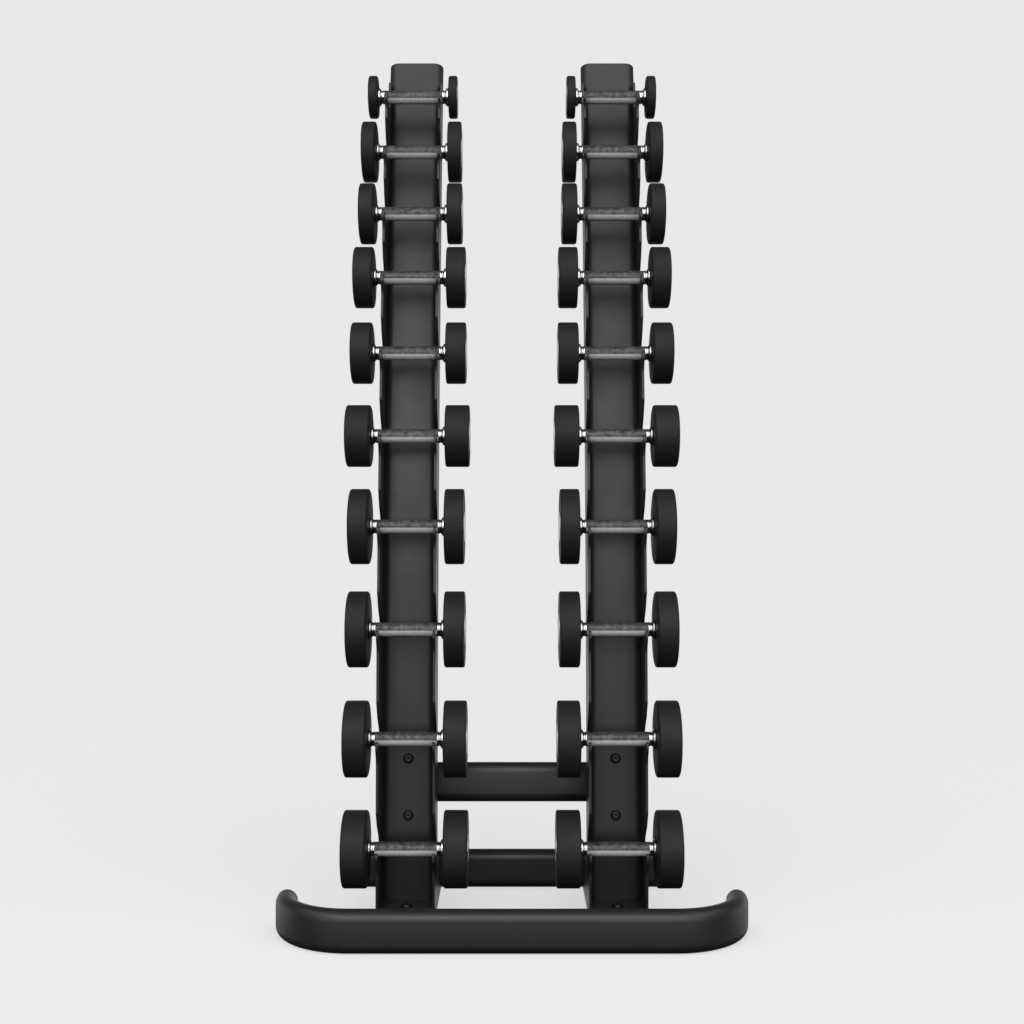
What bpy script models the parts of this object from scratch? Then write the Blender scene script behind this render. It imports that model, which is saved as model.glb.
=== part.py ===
"""Two-tower rack that holds twenty round dumbbells on ten levels.

The towers follow one circular arc that is upright at the floor and leans back more and more with
height. A place on a tower is given by an angle along that arc and by how far it lies behind the
line through the dumbbell handles. X runs across the rack, -Y is its front, +Z is up, and the
origin is on the floor under the middle of the rack's box. All sizes are in metres.
"""

import math

import bmesh
import bpy
import numpy as np
from mathutils import Vector

# Layout
HANDLE_ARC_RADIUS = 6.5
TOWER_SPACING = 0.4156
FRONT_BAR_AHEAD = 0.2134
REAR_BAR_BEHIND = 0.2416

# Clearances
GAP = 0.0003
SADDLE_CLEARANCE = 0.0004

# Flat-oval foot bars and cross brace
BAR_HEIGHT = 0.080
BAR_DEPTH = 0.040
BAR_WALL = 0.0025
FRONT_BAR_PAST_TOWER = 0.2392
FRONT_BAR_BEND_RADIUS = 0.132
REAR_BAR_PAST_TOWER = 0.1222

# Uprights
UPRIGHT_WIDTH = 0.1156
UPRIGHT_DEPTH = 0.040
UPRIGHT_WALL = 0.003
UPRIGHT_SETBACK = 0.063
UPRIGHT_ABOVE_TOP_HANDLE = 0.1209
CAP_THICKNESS = 0.003
CAP_EDGE = 0.0012
PLUG_DEPTH = 0.012

# Saddle plates
PLATE_THICKNESS = 0.005
PLATE_FLOOR_ROOM = 0.002
PLATE_ABOVE_TOP_HANDLE = 0.0694
EDGE_AHEAD = 0.018
HORN_SETBACK = 0.047
HORN_CORNER = 0.008
NOSE_AHEAD = 0.0345
NOSE_LOW = -0.020
LIP_ROUND = 0.0045
NOSE_ROOT_DROP = 0.0236
RAMP_ANGLE = math.radians(24.0)
POCKET_ANGLE = math.radians(17.0)
POCKET_BEHIND = 0.046
POCKET_CORNER = 0.004
POCKET_HEIGHT = 0.014
ROOF = ((-0.023, 0.029), (-0.003, 0.044), (0.012, 0.066))
ROOF_EDGE_UP = 0.070
GUSSET_TOP = 0.107
GUSSET_TOE = 0.022

# Foot rails and foot bolts
RAIL_BOTTOM = 0.010
RAIL_TOP = 0.020
FOOT_BOLT_BEHIND = 0.017
FOOT_BOLT_HEAD = 0.023
FOOT_BOLT_LENGTH = 0.017

# Cross brace and its bolts
BRACE_HEIGHT = 0.2459
BRACE_PLATE_WIDTH = 0.090
BRACE_PLATE_HEIGHT = 0.150
BRACE_PLATE_THICKNESS = 0.008
BRACE_WELD = 0.0006
BRACE_BOLT_SPACING = 0.1132
BRACE_BOLT_HEAD = 0.021
BRACE_BOLT_PAST_PLATE = 0.003
BOLT_DIAMETER = 0.012
BOLT_HEAD_HEIGHT = 0.006
SOCKET_ACROSS_FLATS = 0.008
SOCKET_DEPTH = 0.0035

# Dumbbells
GRIP_RADIUS = 0.014
GRIP_PAST_PLATE = 0.0032
NECK_RADIUS = 0.010
NECK_STEP = 0.0025
NECK_LENGTH = 0.0137
COLLAR_RADIUS = 0.019
ROD_RADIUS = 0.006
BORE_RADIUS = 0.0066
HEAD_RADIUS = {"large": 0.075, "medium": 0.0621, "small": 0.0438}
LOWEST_HEAD_ROOM = 0.0621

# From the floor up: name, head size, head width, free height up to the next head
LEVELS = (
    ("10kg", "large", 0.0469, 0.0644),
    ("9kg", "large", 0.0444, 0.0645),
    ("8kg", "large", 0.0403, 0.0537),
    ("7kg", "large", 0.0383, 0.0459),
    ("6kg", "medium", 0.0482, 0.0472),
    ("5kg", "medium", 0.0403, 0.0364),
    ("4kg", "medium", 0.0383, 0.0153),
    ("3kg", "medium", 0.0303, 0.0150),
    ("2kg", "medium", 0.0279, 0.0219),
    ("1kg", "small", 0.0182, 0.0),
)

# Facets
OVAL_STEPS = 5
ARC_STEPS = 16
BEND_STEPS = 6
SADDLE_STEPS = 2
HANDLE_SIDES = 10
HEAD_SIDES = 16
BOLT_SIDES = 12

# Worked out from the sizes above
SADDLE_RADIUS = GRIP_RADIUS + SADDLE_CLEARANCE
TOWER_HALF = UPRIGHT_WIDTH / 2
INSIDE_HALF = TOWER_HALF - PLATE_THICKNESS
RAIL_HALF = INSIDE_HALF - GAP
GRIP_HALF = TOWER_HALF + GRIP_PAST_PLATE
HEAD_FACE = GRIP_HALF + NECK_LENGTH
UPRIGHT_BACK = UPRIGHT_SETBACK + UPRIGHT_DEPTH
TOWERS = {"left": -TOWER_SPACING / 2, "right": TOWER_SPACING / 2}


def level_angles():
    """Angle of each handle along the arc, spaced so that each pair of heads keeps its free height."""
    radii = [HEAD_RADIUS[size] for _, size, _, _ in LEVELS]
    angle = math.asin((radii[0] + LOWEST_HEAD_ROOM) / HANDLE_ARC_RADIUS)
    angles = [angle]
    for (_, _, _, room), low, high in zip(LEVELS, radii, radii[1:]):
        angle += 2 * math.asin((low + room + high) / (2 * HANDLE_ARC_RADIUS))
        angles.append(angle)
    return angles


LEVEL_ANGLES = level_angles()
UPRIGHT_TOP = LEVEL_ANGLES[-1] + UPRIGHT_ABOVE_TOP_HANDLE / HANDLE_ARC_RADIUS
PLATE_TOP = LEVEL_ANGLES[-1] + PLATE_ABOVE_TOP_HANDLE / HANDLE_ARC_RADIUS
BRACE_ANGLE = math.asin(BRACE_HEIGHT / (HANDLE_ARC_RADIUS - UPRIGHT_SETBACK))
STATIONS = np.linspace(0.0, UPRIGHT_TOP, ARC_STEPS + 1)


def depth_centre():
    """Middle of the rack's box in depth: from the front bar's face to the upright's top back edge."""
    front = -FRONT_BAR_AHEAD - BAR_DEPTH / 2
    cap_top = GAP + CAP_THICKNESS
    back_edge = HANDLE_ARC_RADIUS - (HANDLE_ARC_RADIUS - UPRIGHT_BACK) * math.cos(UPRIGHT_TOP)
    back_edge += (cap_top - CAP_EDGE) * math.sin(UPRIGHT_TOP)
    return (front + max(back_edge, REAR_BAR_BEHIND + BAR_DEPTH / 2)) / 2


DEPTH_CENTRE = depth_centre()


def arc_point(angle, behind, x=0.0):
    """World place at an angle along the arc, behind the line through the handles."""
    radius = HANDLE_ARC_RADIUS - behind
    y = HANDLE_ARC_RADIUS - radius * math.cos(angle) - DEPTH_CENTRE
    return Vector((x, y, radius * math.sin(angle)))


def local_to_arc(angle, ahead, up):
    """World place of a point given ahead of and above the handle at this angle."""
    back = Vector((0.0, math.cos(angle), -math.sin(angle)))
    rise = Vector((0.0, math.sin(angle), math.cos(angle)))
    return arc_point(angle, 0.0) - ahead * back + up * rise


def oval_section(long, short, steps):
    """Flat-oval outline: two half circles joined by straight sides, its long way along the first axis.

    An odd number of steps leaves one facet square across each end, and that facet lies at half the
    long size, so a bar stood on edge rests on it.
    """
    radius = short / 2
    turn = np.linspace(-math.pi / 2, math.pi / 2, steps + 1)
    along = radius * np.cos(turn)
    half = np.stack([long / 2 - along.max() + along, radius * np.sin(turn)], axis=1)
    return np.concatenate([half, -half])


def round_section(radius, sides):
    turn = np.arange(sides) * 2 * math.pi / sides
    return np.stack([radius * np.cos(turn), radius * np.sin(turn)], axis=1)


def hexagon_section(across_flats, sides):
    """Hexagon with as many points as the round it joins: its corners and the middles of its sides."""
    turn = np.arange(sides) * 2 * math.pi / sides
    from_flat = (turn + math.pi / 6) % (math.pi / 3) - math.pi / 6
    radius = across_flats / 2 / np.cos(from_flat)
    return np.stack([radius * np.cos(turn), radius * np.sin(turn)], axis=1)


def skin(name, rings, hollow=False):
    """Mesh through rings of equal count: capped at its ends, or closed back on itself when hollow."""
    shape = bmesh.new()
    rows = [[shape.verts.new(point) for point in ring] for ring in rings]
    count = len(rows[0])
    pairs = list(zip(rows, rows[1:]))
    if hollow:
        pairs.append((rows[-1], rows[0]))
    for low, high in pairs:
        for i in range(count):
            j = (i + 1) % count
            shape.faces.new((low[i], low[j], high[j], high[i]))
    if not hollow:
        shape.faces.new(rows[0])
        shape.faces.new(rows[-1])
    return finished_mesh(name, shape)


def finished_mesh(name, shape):
    """Turns the bmesh into a mesh with its faces outwards and its round parts smooth."""
    bmesh.ops.recalc_face_normals(shape, faces=shape.faces)
    mesh = bpy.data.meshes.new(name)
    shape.to_mesh(mesh)
    shape.free()
    mesh.shade_smooth()
    mesh.set_sharp_from_angle(angle=math.radians(35))
    return mesh


def spun(name, profile, sides, closed):
    """Mesh of a profile of (along, radius) points turned about the X axis."""
    shape = bmesh.new()
    points = [shape.verts.new((along, 0.0, radius)) for along, radius in profile]
    ends = zip(points, points[1:] + points[:1]) if closed else zip(points, points[1:])
    edges = [shape.edges.new(pair) for pair in ends]
    bmesh.ops.spin(
        shape,
        geom=points + edges,
        cent=(0.0, 0.0, 0.0),
        axis=(1.0, 0.0, 0.0),
        angle=2 * math.pi,
        steps=sides,
        use_merge=True,
    )
    bmesh.ops.remove_doubles(shape, verts=shape.verts, dist=1e-6)
    return finished_mesh(name, shape)


def block(name, low, high):
    """Box mesh between two corners."""
    shape = bmesh.new()
    bmesh.ops.create_cube(shape, size=1.0)
    low, high = Vector(low), Vector(high)
    for vert in shape.verts:
        vert.co = Vector(a * b for a, b in zip(vert.co, high - low)) + (low + high) / 2
    return finished_mesh(name, shape)


def material(name, colour, roughness, metallic):
    made = bpy.data.materials.new(name)
    made.use_nodes = True
    shader = made.node_tree.nodes["Principled BSDF"]
    shader.inputs["Base Color"].default_value = (*colour, 1.0)
    shader.inputs["Roughness"].default_value = roughness
    shader.inputs["Metallic"].default_value = metallic
    made.diffuse_color = (*colour, 1.0)
    return made


def empty(name, location, lean=0.0, parent=None):
    """Frame to hang pieces on, leaned back by an angle."""
    made = bpy.data.objects.new(name, None)
    made.location = location
    made.rotation_euler = (-lean, 0.0, 0.0)
    made.parent = parent
    bpy.context.scene.collection.objects.link(made)
    return made


def piece(name, mesh, finish, location=(0.0, 0.0, 0.0), rotation=(0.0, 0.0, 0.0), parent=None):
    made = bpy.data.objects.new(name, mesh)
    made.location = location
    made.rotation_euler = rotation
    made.parent = parent
    if finish is not None and not mesh.materials:
        mesh.materials.append(finish)
    bpy.context.scene.collection.objects.link(made)
    return made


def helper(name, mesh, location=(0.0, 0.0, 0.0), rotation=(0.0, 0.0, 0.0), parent=None):
    """Shape that only takes part in Booleans."""
    made = piece(name, mesh, None, location, rotation, parent)
    made.hide_render = True
    made.display_type = "WIRE"
    return made


def combine(target, other, operation="DIFFERENCE"):
    step = target.modifiers.new(operation.lower() + "_" + other.name, "BOOLEAN")
    step.operation = operation
    step.solver = "EXACT"
    step.object = other


def front_bar_stations():
    """Centre line of the front bar: (place, sideways direction) from its left end round to its right."""
    y = -FRONT_BAR_AHEAD - DEPTH_CENTRE
    outer = TOWER_SPACING / 2 + FRONT_BAR_PAST_TOWER
    straight = outer - BAR_DEPTH / 2 - FRONT_BAR_BEND_RADIUS
    stations = []
    for side in (-1, 1):
        turns = np.linspace(0.0, math.pi / 2, BEND_STEPS + 1)
        bend = []
        for turn in turns:
            out = Vector((side * math.sin(turn), -math.cos(turn), 0.0))
            centre = Vector((side * straight, y + FRONT_BAR_BEND_RADIUS, BAR_HEIGHT / 2))
            bend.append((centre + FRONT_BAR_BEND_RADIUS * out, out))
        stations += bend[::-1] if side < 0 else bend
    return stations


def bar_rings(stations, wall):
    """Rings of a flat-oval bar, stood on edge, along a level path."""
    section = oval_section(BAR_HEIGHT - 2 * wall, BAR_DEPTH - 2 * wall, OVAL_STEPS)
    up = Vector((0.0, 0.0, 1.0))
    return [[place + float(a) * up + float(b) * out for a, b in section] for place, out in stations]


def bar_mesh(name, stations):
    outer = bar_rings(stations, 0.0)
    inner = bar_rings(stations, BAR_WALL)
    return skin(name, outer + inner[::-1], hollow=True)


def straight_stations(half, y, z):
    front = Vector((0.0, -1.0, 0.0))
    return [(Vector((x, y, z)), front) for x in (-half, half)]


def upright_rings(wall):
    """Rings of the upright along the arc. The lowest one is level, so that it stands on the rail."""
    section = oval_section(UPRIGHT_WIDTH - 2 * wall, UPRIGHT_DEPTH - 2 * wall, OVAL_STEPS)
    middle = UPRIGHT_SETBACK + UPRIGHT_DEPTH / 2
    rings = []
    for angle in STATIONS:
        rings.append([arc_point(angle, middle + b, a) for a, b in section])
    for point in rings[0]:
        point.z = RAIL_TOP + GAP
    return rings


def upright_mesh():
    return skin("upright", upright_rings(0.0) + upright_rings(UPRIGHT_WALL)[::-1], hollow=True)


def cap_mesh():
    """Plug inside the tube's end, and a plate flush with the tube's outline."""
    def ring(inset, height):
        section = oval_section(UPRIGHT_WIDTH - 2 * inset, UPRIGHT_DEPTH - 2 * inset, OVAL_STEPS)
        return [(a, b, height) for a, b in section]

    plug = UPRIGHT_WALL + GAP
    top = GAP + CAP_THICKNESS
    return skin(
        "top_cap",
        [
            ring(plug, -PLUG_DEPTH),
            ring(plug, GAP),
            ring(0.0, GAP),
            ring(0.0, top - CAP_EDGE),
            ring(CAP_EDGE, top),
        ],
    )


def shoulder_depth():
    """How far behind the handles the plate's inner face meets the upright's round side."""
    section = oval_section(UPRIGHT_WIDTH, UPRIGHT_DEPTH, OVAL_STEPS)
    front = [(a, b) for a, b in section if a > 0 and b <= 0]
    widths, depths = zip(*sorted(front))
    middle = UPRIGHT_SETBACK + UPRIGHT_DEPTH / 2
    return middle + float(np.interp(INSIDE_HALF, widths, depths))


def hook_outline(with_roof):
    """One hook from under its nose up to the roof of its mouth, as (ahead, up) of the handle's axis."""
    ramp = RAMP_ANGLE
    crest = NOSE_AHEAD - LIP_ROUND
    crest_up = crest * math.tan(ramp) - SADDLE_RADIUS / math.cos(ramp)
    points = [
        (EDGE_AHEAD, -SADDLE_RADIUS - NOSE_ROOT_DROP),
        (NOSE_AHEAD, NOSE_LOW),
        (NOSE_AHEAD, crest_up - LIP_ROUND),
        (crest, crest_up),
    ]
    for turn in np.linspace(ramp, -POCKET_ANGLE, SADDLE_STEPS + 1):
        points.append((SADDLE_RADIUS * math.sin(turn), -SADDLE_RADIUS * math.cos(turn)))
    floor_end = POCKET_BEHIND - POCKET_CORNER
    floor_up = floor_end * math.tan(POCKET_ANGLE) - SADDLE_RADIUS / math.cos(POCKET_ANGLE)
    points.append((-floor_end, floor_up))
    points.append((-POCKET_BEHIND, floor_up + POCKET_CORNER))
    if with_roof:
        points.append((-floor_end, POCKET_HEIGHT))
        points += ROOF
        points.append((EDGE_AHEAD, ROOF_EDGE_UP))
    return points


def rear_cope():
    """Toe of the gusset, cut to the rear bar's rounded underside, from the floor upwards."""
    section = oval_section(BAR_HEIGHT + 2 * GAP, BAR_DEPTH + 2 * GAP, OVAL_STEPS)
    centre_y = REAR_BAR_BEHIND - DEPTH_CENTRE
    under = sorted((BAR_HEIGHT / 2 + a, centre_y - b) for a, b in section if a < 0 < b)
    heights, faces = zip(*under)
    cope = [(float(np.interp(PLATE_FLOOR_ROOM, heights, faces)), PLATE_FLOOR_ROOM)]
    cope += [(y, z) for z, y in under if z > PLATE_FLOOR_ROOM]
    return cope + [(faces[-1], GUSSET_TOE)]


def plate_outline():
    """Outline of a saddle plate in (y, z), up its hooked front edge and down its back."""
    outline = [(-EDGE_AHEAD - DEPTH_CENTRE, PLATE_FLOOR_ROOM)]
    top_level = len(LEVELS) - 1
    for index, angle in enumerate(LEVEL_ANGLES):
        for ahead, up in hook_outline(index < top_level):
            outline.append(tuple(local_to_arc(angle, ahead, up).yz))
    corner = HORN_CORNER / HANDLE_ARC_RADIUS
    back = shoulder_depth() - GAP
    horn_low = LEVEL_ANGLES[-1] + POCKET_HEIGHT / HANDLE_ARC_RADIUS
    outline.append(tuple(arc_point(horn_low, HORN_SETBACK).yz))
    outline.append(tuple(arc_point(PLATE_TOP - corner, HORN_SETBACK).yz))
    outline.append(tuple(arc_point(PLATE_TOP, HORN_SETBACK + HORN_CORNER).yz))
    outline.append(tuple(arc_point(PLATE_TOP, back).yz))
    gusset_angle = GUSSET_TOP / HANDLE_ARC_RADIUS
    for angle in STATIONS[::-1]:
        if gusset_angle < angle < PLATE_TOP:
            outline.append(tuple(arc_point(angle, back).yz))
    outline.append((arc_point(gusset_angle, back).y, GUSSET_TOP))
    outline.append((arc_point(gusset_angle, UPRIGHT_BACK).y + GAP, GUSSET_TOP))
    outline += rear_cope()[::-1]
    return outline


def plate_mesh():
    """The outline drawn as one face and extruded through the plate's thickness."""
    shape = bmesh.new()
    face = shape.faces.new([shape.verts.new((0.0, y, z)) for y, z in plate_outline()])
    grown = bmesh.ops.extrude_face_region(shape, geom=[face])["geom"]
    verts = [item for item in grown if isinstance(item, bmesh.types.BMVert)]
    bmesh.ops.translate(shape, verts=verts, vec=(PLATE_THICKNESS, 0.0, 0.0))
    return finished_mesh("saddle_plate", shape)


def bolt_mesh(name, head_diameter, length):
    """Button-head bolt along Z, its head's underside at the origin, with a hexagon socket."""
    shank = round_section(BOLT_DIAMETER / 2, BOLT_SIDES)
    head = head_diameter / 2
    socket = hexagon_section(SOCKET_ACROSS_FLATS, BOLT_SIDES)
    rows = (
        (shank, -length),
        (shank, 0.0),
        (round_section(head, BOLT_SIDES), 0.0),
        (round_section(head * 0.93, BOLT_SIDES), BOLT_HEAD_HEIGHT * 0.45),
        (round_section(head * 0.62, BOLT_SIDES), BOLT_HEAD_HEIGHT),
        (socket, BOLT_HEAD_HEIGHT),
        (socket, BOLT_HEAD_HEIGHT - SOCKET_DEPTH),
    )
    return skin(name, [[(x, y, height) for x, y in section] for section, height in rows])


def bolt_hole(name, length):
    """Round cutter for a bolt's shank, along Z through the origin."""
    section = round_section(BOLT_DIAMETER / 2 + GAP, BOLT_SIDES)
    return skin(name, [[(x, y, z) for x, y in section] for z in (-length, length)])


def handle_mesh():
    """Sleeve with a plain grip, two necks and two flared collars, bored for the heads' rod."""
    end = HEAD_FACE - GAP
    half = [(GRIP_HALF, GRIP_RADIUS), (GRIP_HALF + NECK_STEP, NECK_RADIUS)]
    half += [(end, COLLAR_RADIUS), (end, BORE_RADIUS)]
    mirrored = [(-along, radius) for along, radius in half[::-1]]
    return spun("handle", half + mirrored, HANDLE_SIDES, closed=True)


def heads_mesh(name, radius, width):
    """Two heads on the rod that runs through the handle."""
    half = [(HEAD_FACE, ROD_RADIUS), (HEAD_FACE, radius)]
    half += [(HEAD_FACE + width, radius), (HEAD_FACE + width, 0.0)]
    mirrored = [(-along, size) for along, size in half[::-1]]
    return spun(name, mirrored + half, HEAD_SIDES, closed=False)


def make_base(steel):
    piece("front_foot_bar", bar_mesh("front_foot_bar", front_bar_stations()), steel)
    rear_y = REAR_BAR_BEHIND - DEPTH_CENTRE
    rear_half = TOWER_SPACING / 2 + REAR_BAR_PAST_TOWER
    rear = straight_stations(rear_half, rear_y, BAR_HEIGHT / 2)
    piece("rear_foot_bar", bar_mesh("rear_foot_bar", rear), steel)


def make_rail(side, tower, steel, bolt_steel, bolt):
    """Flat bar from the front foot bar to the rear one, and the bolt through its front."""
    front = -FRONT_BAR_AHEAD + BAR_DEPTH / 2 + GAP - DEPTH_CENTRE
    back = REAR_BAR_BEHIND - BAR_DEPTH / 2 - GAP - DEPTH_CENTRE
    mesh = block("foot_rail", (-RAIL_HALF, front, RAIL_BOTTOM), (RAIL_HALF, back, RAIL_TOP))
    rail = piece("foot_rail_" + side, mesh, steel, parent=tower)
    place = (0.0, FOOT_BOLT_BEHIND - DEPTH_CENTRE, RAIL_TOP + GAP)
    hole = helper("foot_bolt_hole_" + side, bolt_hole("foot_bolt_hole", RAIL_TOP), place, parent=tower)
    combine(rail, hole)
    piece("foot_bolt_" + side, bolt, bolt_steel, place, parent=tower)


def make_upright(side, tower, meshes, steel, cap_finish):
    """Curved upright, slotted at its foot where the side plates run past it, and its top cap."""
    upright = piece("upright_" + side, meshes["upright"], steel, parent=tower)
    outside = UPRIGHT_WIDTH
    slot_top = GUSSET_TOP + GAP
    for end, (low, high) in {"a": (-outside, -RAIL_HALF), "b": (RAIL_HALF, outside)}.items():
        mesh = block("foot_slot", (low, -outside, 0.0), (high, 2 * outside, slot_top))
        combine(upright, helper(f"foot_slot_{side}_{end}", mesh, parent=tower))
    middle = UPRIGHT_SETBACK + UPRIGHT_DEPTH / 2
    seat = empty("cap_seat_" + side, arc_point(UPRIGHT_TOP, middle), UPRIGHT_TOP, tower)
    piece("top_cap_" + side, meshes["cap"], cap_finish, parent=seat)
    return upright


def make_plates(side, tower, mesh, steel):
    low = piece("saddle_plate_" + side + "_a", mesh, steel, (-TOWER_HALF, 0.0, 0.0), parent=tower)
    high = piece("saddle_plate_" + side + "_b", mesh, steel, (INSIDE_HALF, 0.0, 0.0), parent=tower)
    outer, inner = (low, high) if side == "left" else (high, low)
    outer.name = "saddle_plate_" + side + "_outer"
    inner.name = "saddle_plate_" + side + "_inner"


def brace_room():
    """Room that a flat end plate needs on the upright's hollow back, which is curved and faceted."""
    radius = HANDLE_ARC_RADIUS - UPRIGHT_BACK
    curve = (BRACE_PLATE_HEIGHT / 2) ** 2 / (2 * radius)
    facet = radius * (1 - math.cos(STATIONS[1] / 2))
    return curve + facet + GAP


def make_brace(uprights, bolt, steel, bolt_steel):
    """Flat-oval brace behind the uprights, with a welded end plate and two through bolts at each."""
    room = brace_room()
    seat = empty("brace_seat", arc_point(BRACE_ANGLE, UPRIGHT_BACK + room), BRACE_ANGLE)
    half = TOWER_SPACING / 2 + BRACE_PLATE_WIDTH / 2
    tube_y = BRACE_PLATE_THICKNESS + BAR_DEPTH / 2 - BRACE_WELD
    brace = piece(
        "cross_brace",
        bar_mesh("cross_brace", straight_stations(half, tube_y, 0.0)),
        steel,
        parent=seat,
    )
    size = Vector((BRACE_PLATE_WIDTH, BRACE_PLATE_THICKNESS, BRACE_PLATE_HEIGHT))
    face = -UPRIGHT_DEPTH - room - GAP
    for side, x in TOWERS.items():
        low = Vector((x, BRACE_PLATE_THICKNESS / 2, 0.0)) - size / 2
        plate = helper("brace_plate_" + side, block("brace_plate", low, low + size), parent=seat)
        combine(brace, plate, "UNION")
        for height, z in {"lower": -BRACE_BOLT_SPACING / 2, "upper": BRACE_BOLT_SPACING / 2}.items():
            name = f"{side}_{height}"
            place = (x, face, z)
            turned = (math.pi / 2, 0.0, 0.0)
            cutter = bolt_hole("brace_bolt_hole", UPRIGHT_WIDTH)
            hole = helper("brace_bolt_hole_" + name, cutter, place, turned, seat)
            combine(brace, hole)
            combine(uprights[side], hole)
            piece("brace_bolt_" + name, bolt, bolt_steel, place, turned, seat)


def make_dumbbells(side, tower, meshes, chrome, rubber):
    """One dumbbell per level. Its frame lies on the handle's axis, leaned with the tower."""
    for (name, _, _, _), angle in zip(LEVELS, LEVEL_ANGLES):
        seat = empty(f"dumbbell_{side}_{name}", arc_point(angle, 0.0), angle, tower)
        piece(f"handle_{side}_{name}", meshes["handle"], chrome, parent=seat)
        piece(f"heads_{side}_{name}", meshes[name], rubber, parent=seat)


def main():
    for old in list(bpy.data.objects):
        bpy.data.objects.remove(old, do_unlink=True)
    steel = material("satin_black_steel", (0.022, 0.022, 0.023), 0.42, 0.0)
    cap_finish = material("black_plastic", (0.024, 0.024, 0.025), 0.5, 0.0)
    bolt_steel = material("black_oxide_bolt", (0.012, 0.012, 0.013), 0.35, 0.6)
    chrome = material("chromed_steel", (0.62, 0.62, 0.63), 0.18, 1.0)
    rubber = material("matte_black_rubber", (0.014, 0.014, 0.015), 0.62, 0.0)
    meshes = {"upright": upright_mesh(), "cap": cap_mesh(), "handle": handle_mesh()}
    for name, size, width, _ in LEVELS:
        meshes[name] = heads_mesh("heads_" + name, HEAD_RADIUS[size], width)
    plate = plate_mesh()
    foot_bolt = bolt_mesh("foot_bolt", FOOT_BOLT_HEAD, FOOT_BOLT_LENGTH)
    reach = GAP + UPRIGHT_DEPTH + brace_room() + BRACE_PLATE_THICKNESS + BRACE_BOLT_PAST_PLATE
    brace_bolt = bolt_mesh("brace_bolt", BRACE_BOLT_HEAD, reach)
    make_base(steel)
    uprights = {}
    for side, x in TOWERS.items():
        tower = empty("tower_" + side, (x, 0.0, 0.0))
        make_rail(side, tower, steel, bolt_steel, foot_bolt)
        uprights[side] = make_upright(side, tower, meshes, steel, cap_finish)
        make_plates(side, tower, plate, steel)
        make_dumbbells(side, tower, meshes, chrome, rubber)
    make_brace(uprights, brace_bolt, steel, bolt_steel)


main()
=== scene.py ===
"""Looks of the two-tower dumbbell rack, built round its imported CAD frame.

Every new piece is a surface worked out with numpy: a ring of points carried along a path, or an
outline carried through a plate's thickness. Angles run along the arc that the towers follow, and
"behind" is the distance behind the line through the dumbbells' handles. Metres throughout.
"""

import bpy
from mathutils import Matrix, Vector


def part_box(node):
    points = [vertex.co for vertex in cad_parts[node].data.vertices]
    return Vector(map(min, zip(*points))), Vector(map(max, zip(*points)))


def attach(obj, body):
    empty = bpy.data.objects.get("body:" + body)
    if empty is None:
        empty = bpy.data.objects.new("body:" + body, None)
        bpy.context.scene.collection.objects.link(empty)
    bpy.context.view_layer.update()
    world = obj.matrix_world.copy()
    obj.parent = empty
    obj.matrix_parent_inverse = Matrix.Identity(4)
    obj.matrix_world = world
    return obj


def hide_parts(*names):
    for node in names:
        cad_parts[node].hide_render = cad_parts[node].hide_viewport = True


bl_info = {
    "name": "Dumbbell Rack",
    "version": (1, 0, 0),
    "blender": (4, 5, 0),
    "location": "3D View > Sidebar > Rack",
    "description": "Builds the visible pieces and finishes of a two-tower dumbbell rack",
    "category": "Add Mesh",
}

import bmesh
import bpy
import numpy as np
from mathutils import Vector

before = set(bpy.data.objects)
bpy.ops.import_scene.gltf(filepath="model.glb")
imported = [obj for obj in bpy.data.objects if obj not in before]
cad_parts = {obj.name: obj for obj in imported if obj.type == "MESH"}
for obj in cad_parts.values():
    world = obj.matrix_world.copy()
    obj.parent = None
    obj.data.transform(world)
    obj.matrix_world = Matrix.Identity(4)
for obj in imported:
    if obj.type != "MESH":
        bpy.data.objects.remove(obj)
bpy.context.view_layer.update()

SIDES = ("left", "right")
LEVELS = ("10kg", "9kg", "8kg", "7kg", "6kg", "5kg", "4kg", "3kg", "2kg", "1kg")
IRON_LEVELS = LEVELS[:7]

# The arc of the handles, and the bars
ARC_RADIUS = 6.5
GAP = 0.0003
OVAL_STEPS = 20
BAR_WALL = 0.0025
BEND_RADIUS = 0.132

# Plugs in the bars' ends
STEM_LENGTH = 0.014
PLUG_SEAM = 0.0002
LID_EDGE = 0.0012
DOME_HEIGHT = 0.005
DOME_INSET = 0.016

# Uprights: setback is from the handles' arc to the front face, and the slot is where plates run past
UPRIGHT_DEPTH = 0.040
UPRIGHT_SETBACK = 0.063
UPRIGHT_ABOVE_TOP_HANDLE = 0.1209
UPRIGHT_WALL = 0.003
SLOT_TOP = 0.1073
ARC_STEPS = 16
CAP_THICKNESS = 0.003
CAP_EDGE = 0.0016
PLUG_DEPTH = 0.012

# Brace: end plate is width, height, thickness
BRACE_HEIGHT = 0.2459
BRACE_PLATE = (0.090, 0.150, 0.008)
BRACE_BOLT_OFFSET = 0.0566
BRACE_BOLT_LENGTH = 0.0517
BRACE_WELD = 0.0006
BRACE_WELD_OFFSET = 0.0255
BRACE_PLATE_CORNER = 0.008
BRACE_PLATE_EDGE = 0.0008
WELD_MARGIN = 0.004

# Bolts
SHANK_RADIUS = 0.006
BOLT_HEAD_HEIGHT = 0.006
SOCKET_HALF_ACROSS = 0.004
SOCKET_DEPTH = 0.0035

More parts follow.
